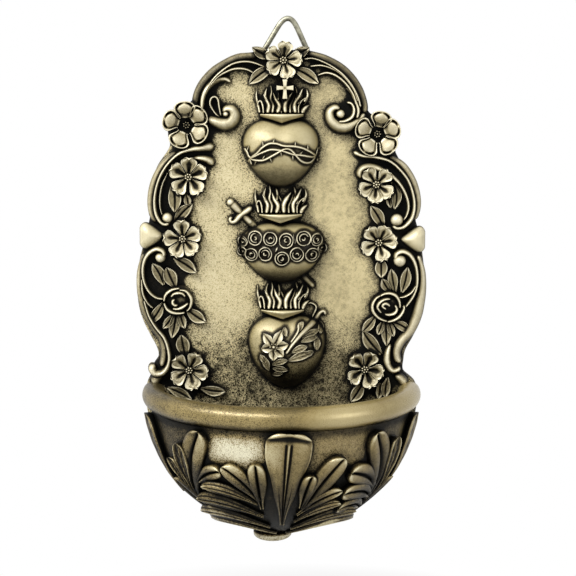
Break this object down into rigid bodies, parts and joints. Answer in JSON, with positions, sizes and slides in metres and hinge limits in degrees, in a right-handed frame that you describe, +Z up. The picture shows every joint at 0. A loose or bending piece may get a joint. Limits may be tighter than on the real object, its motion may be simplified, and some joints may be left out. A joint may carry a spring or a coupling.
{
  "type": "holy water stoup",
  "caption": "Arched wall plaque with scrolls, flowers and flaming hearts in relief above a half-round leafed bowl for holy water, hung by a wire ring that folds into its back.",
  "frame": {"origin": "on the flat back, on the plate's middle line at half height, where it meets the wall", "axes": "+Z up as hung, +Y into the wall, -Y to the front where the bowl stands out, +X to the viewer's right"},
  "size_m": [0.1288, 0.0703, 0.2316],
  "materials": {
    "bronze": "cast resin with an antique bronze finish: pale gold on the raised edges, dark brown in the recesses",
    "steel": "dull drawn wire and strip"
  },
  "bodies": {
    "casting": {"acanthus_front": "bronze", "acanthus_left": "bronze", "acanthus_right": "bronze", "back_plate": "bronze", "bowl_boss": "bronze", "bowl_rim": "bronze", "bowl_shell": "bronze", "corner_leaf_left": "bronze", "corner_leaf_right": "bronze", "crest_flower": "bronze", "crest_scroll_left": "bronze", "crest_scroll_right": "bronze", "crest_spray": "bronze", "hanger_screw": "steel", "hanger_strap": "steel", "lily_collar": "bronze", "lily_flames": "bronze", "lily_heart": "bronze", "lily_spray": "bronze", "lower_flower_left": "bronze", "lower_flower_right": "bronze", "lower_scroll_left": "bronze", "lower_scroll_right": "bronze", "lower_spray_left": "bronze", "lower_spray_right": "bronze", "middle_flower_left": "bronze", "middle_flower_right": "bronze", "middle_spray_left": "bronze", "middle_spray_right": "bronze", "rose_band": "bronze", "rose_collar": "bronze", "rose_flames": "bronze", "rose_heart": "bronze", "rose_left": "bronze", "rose_right": "bronze", "rose_spray_left": "bronze", "rose_spray_right": "bronze", "shoulder_flower_left": "bronze", "shoulder_flower_right": "bronze", "side_knob_left": "bronze", "side_knob_right": "bronze", "small_cross": "bronze", "sword": "bronze", "thorn_collar": "bronze", "thorn_crown": "bronze", "thorn_flames": "bronze", "thorn_heart": "bronze", "upper_flower_left": "bronze", "upper_flower_right": "bronze", "upper_scroll_left": "bronze", "upper_scroll_right": "bronze", "upper_spray_left": "bronze", "upper_spray_right": "bronze"},
    "ring": {"hanger_ring": "steel"}
  },
  "joints": [
    {"name": "ring_hinge", "type": "hinge", "parent": "casting", "child": "ring", "pos_m": [0.0016, -0.0025, 0.101], "axis": [-1, 0, 0], "range_deg": [0, 180]}
  ]
}
